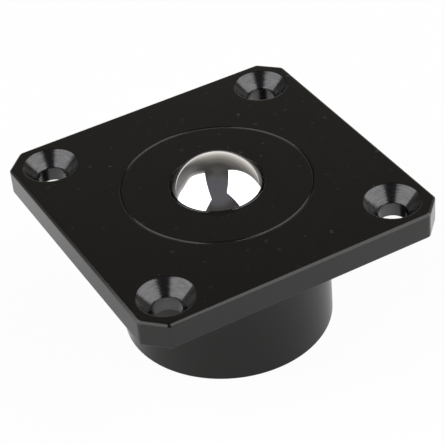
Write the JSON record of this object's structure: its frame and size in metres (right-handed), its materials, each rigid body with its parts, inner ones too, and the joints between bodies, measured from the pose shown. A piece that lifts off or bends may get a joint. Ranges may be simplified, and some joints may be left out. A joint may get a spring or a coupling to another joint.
{
  "type": "ball transfer unit",
  "caption": "Ball transfer unit: a load ball carried on recirculating bearing balls in a round steel housing with a square countersunk flange.",
  "frame": {"origin": "centre of the four fixing holes in the flange's underside, the face that seats on the table or conveyor bed", "axes": "+Z out of the unit through the load ball, +X and +Y along the sides of the square flange"},
  "size_m": [0.1, 0.1, 0.059],
  "materials": {
    "black_steel": "glossy black oxide on ground and turned steel",
    "nitrile": "matt black nitrile",
    "hard_steel": "turned and hardened steel",
    "polished_steel": "lapped, mirror bright",
    "bearing_steel": "lapped bearing steel"
  },
  "bodies": {
    "fixed": {"housing": "black_steel", "cap": "black_steel", "wiper_seal": "nitrile", "load_table": "hard_steel"},
    "bearing_set": {"bottom_ball": "bearing_steel", "cup_balls_1": "bearing_steel", "cup_balls_2": "bearing_steel", "cup_balls_3": "bearing_steel", "cup_balls_4": "bearing_steel", "equator_balls": "bearing_steel", "rim_balls": "bearing_steel", "return_balls": "bearing_steel"},
    "side_pair": {"side_balls": "bearing_steel"},
    "ball": {"load_ball": "polished_steel"}
  },
  "joints": [
    {"name": "bearing_set_spin", "type": "hinge", "parent": "fixed", "child": "bearing_set", "pos_m": [0, 0, 0.0016], "axis": [0, 0, 1], "continuous": true},
    {"name": "side_pair_roll", "type": "hinge", "parent": "bearing_set", "child": "side_pair", "pos_m": [0, 0, 0.0016], "axis": [1, 0, 0], "continuous": true},
    {"name": "ball_roll", "type": "hinge", "parent": "side_pair", "child": "ball", "pos_m": [0, 0, 0.0016], "axis": [0, 1, 0], "continuous": true}
  ]
}
